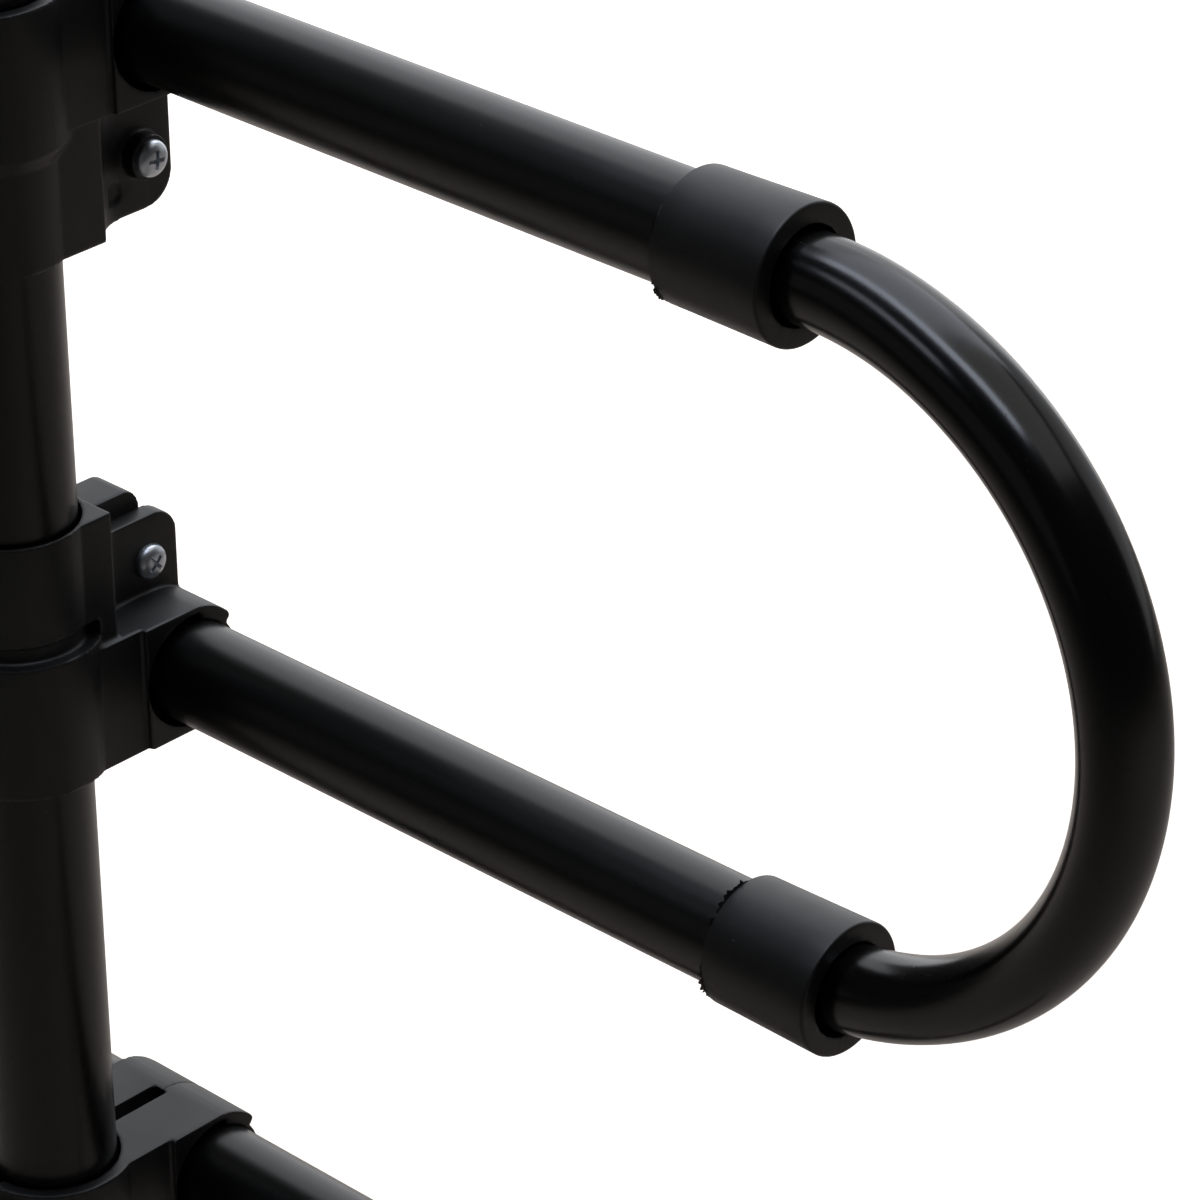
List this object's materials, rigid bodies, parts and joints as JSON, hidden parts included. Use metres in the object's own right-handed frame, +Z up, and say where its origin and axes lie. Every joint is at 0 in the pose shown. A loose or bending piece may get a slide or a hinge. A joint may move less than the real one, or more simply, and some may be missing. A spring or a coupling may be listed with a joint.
{
  "type": "pool handrail",
  "caption": "Deck-mounted black tubular handrail: two posts carry clamped rail loops whose U-shaped ends telescope through rubber collars.",
  "frame": {"origin": "on the floor, in the plane of the two posts and midway between them", "axes": "+X along the rails towards the right-hand end, +Y from the posts to the rails, +Z up"},
  "size_m": [1.4208, 0.141, 1],
  "materials": {
    "rail_coat": "satin",
    "end_coat": "gloss",
    "flange_coat": "satin",
    "clamp_plastic": "matte",
    "cap_plastic": "matte",
    "bush_plastic": "satin",
    "collar_rubber": "matte",
    "zinc_steel": "bright"
  },
  "bodies": {
    "base": {"post_left": "rail_coat", "post_right": "rail_coat", "post_cap_left": "cap_plastic", "post_cap_right": "cap_plastic", "deck_flange_left": "flange_coat", "deck_flange_right": "flange_coat", "flange_grub_screws": "zinc_steel"},
    "upper_loop": {"upper_loop_top_rail": "rail_coat", "upper_loop_top_clamp_left_front": "clamp_plastic", "upper_loop_top_clamp_left_rear": "clamp_plastic", "upper_loop_top_collar_left": "collar_rubber", "upper_loop_top_clamp_right_front": "clamp_plastic", "upper_loop_top_clamp_right_rear": "clamp_plastic", "upper_loop_top_collar_right": "collar_rubber", "upper_loop_bottom_rail": "rail_coat", "upper_loop_bottom_clamp_left_front": "clamp_plastic", "upper_loop_bottom_clamp_left_rear": "clamp_plastic", "upper_loop_bottom_collar_left": "collar_rubber", "upper_loop_bottom_clamp_right_front": "clamp_plastic", "upper_loop_bottom_clamp_right_rear": "clamp_plastic", "upper_loop_bottom_collar_right": "collar_rubber", "upper_loop_clamp_screws": "zinc_steel", "upper_loop_clamp_nuts": "zinc_steel", "upper_loop_rail_bushes": "bush_plastic"},
    "lower_loop": {"lower_loop_top_rail": "rail_coat", "lower_loop_top_clamp_left_front": "clamp_plastic", "lower_loop_top_clamp_left_rear": "clamp_plastic", "lower_loop_top_collar_left": "collar_rubber", "lower_loop_top_clamp_right_front": "clamp_plastic", "lower_loop_top_clamp_right_rear": "clamp_plastic", "lower_loop_top_collar_right": "collar_rubber", "lower_loop_bottom_rail": "rail_coat", "lower_loop_bottom_clamp_left_front": "clamp_plastic", "lower_loop_bottom_clamp_left_rear": "clamp_plastic", "lower_loop_bottom_collar_left": "collar_rubber", "lower_loop_bottom_clamp_right_front": "clamp_plastic", "lower_loop_bottom_clamp_right_rear": "clamp_plastic", "lower_loop_bottom_collar_right": "collar_rubber", "lower_loop_clamp_screws": "zinc_steel", "lower_loop_clamp_nuts": "zinc_steel", "lower_loop_rail_bushes": "bush_plastic"},
    "upper_left_slide_end": {"upper_left_end": "end_coat", "upper_left_leg_bushes": "bush_plastic"},
    "upper_right_slide_end": {"upper_right_end": "end_coat", "upper_right_leg_bushes": "bush_plastic"},
    "lower_left_slide_end": {"lower_left_end": "end_coat", "lower_left_leg_bushes": "bush_plastic"},
    "lower_right_slide_end": {"lower_right_end": "end_coat", "lower_right_leg_bushes": "bush_plastic"}
  },
  "joints": [
    {"name": "upper_loop_height", "type": "slide", "parent": "base", "child": "upper_loop", "axis": [0, 0, 1], "range_m": [-0.06, 0.04]},
    {"name": "lower_loop_height", "type": "slide", "parent": "base", "child": "lower_loop", "axis": [0, 0, 1], "range_m": [-0.15, 0.06]},
    {"name": "upper_left_extension", "type": "slide", "parent": "upper_loop", "child": "upper_left_slide_end", "axis": [-1, 0, 0], "range_m": [0, 0.08]},
    {"name": "upper_right_extension", "type": "slide", "parent": "upper_loop", "child": "upper_right_slide_end", "axis": [1, 0, 0], "range_m": [0, 0.08]},
    {"name": "lower_left_extension", "type": "slide", "parent": "lower_loop", "child": "lower_left_slide_end", "axis": [-1, 0, 0], "range_m": [0, 0.08]},
    {"name": "lower_right_extension", "type": "slide", "parent": "lower_loop", "child": "lower_right_slide_end", "axis": [1, 0, 0], "range_m": [0, 0.08]}
  ]
}
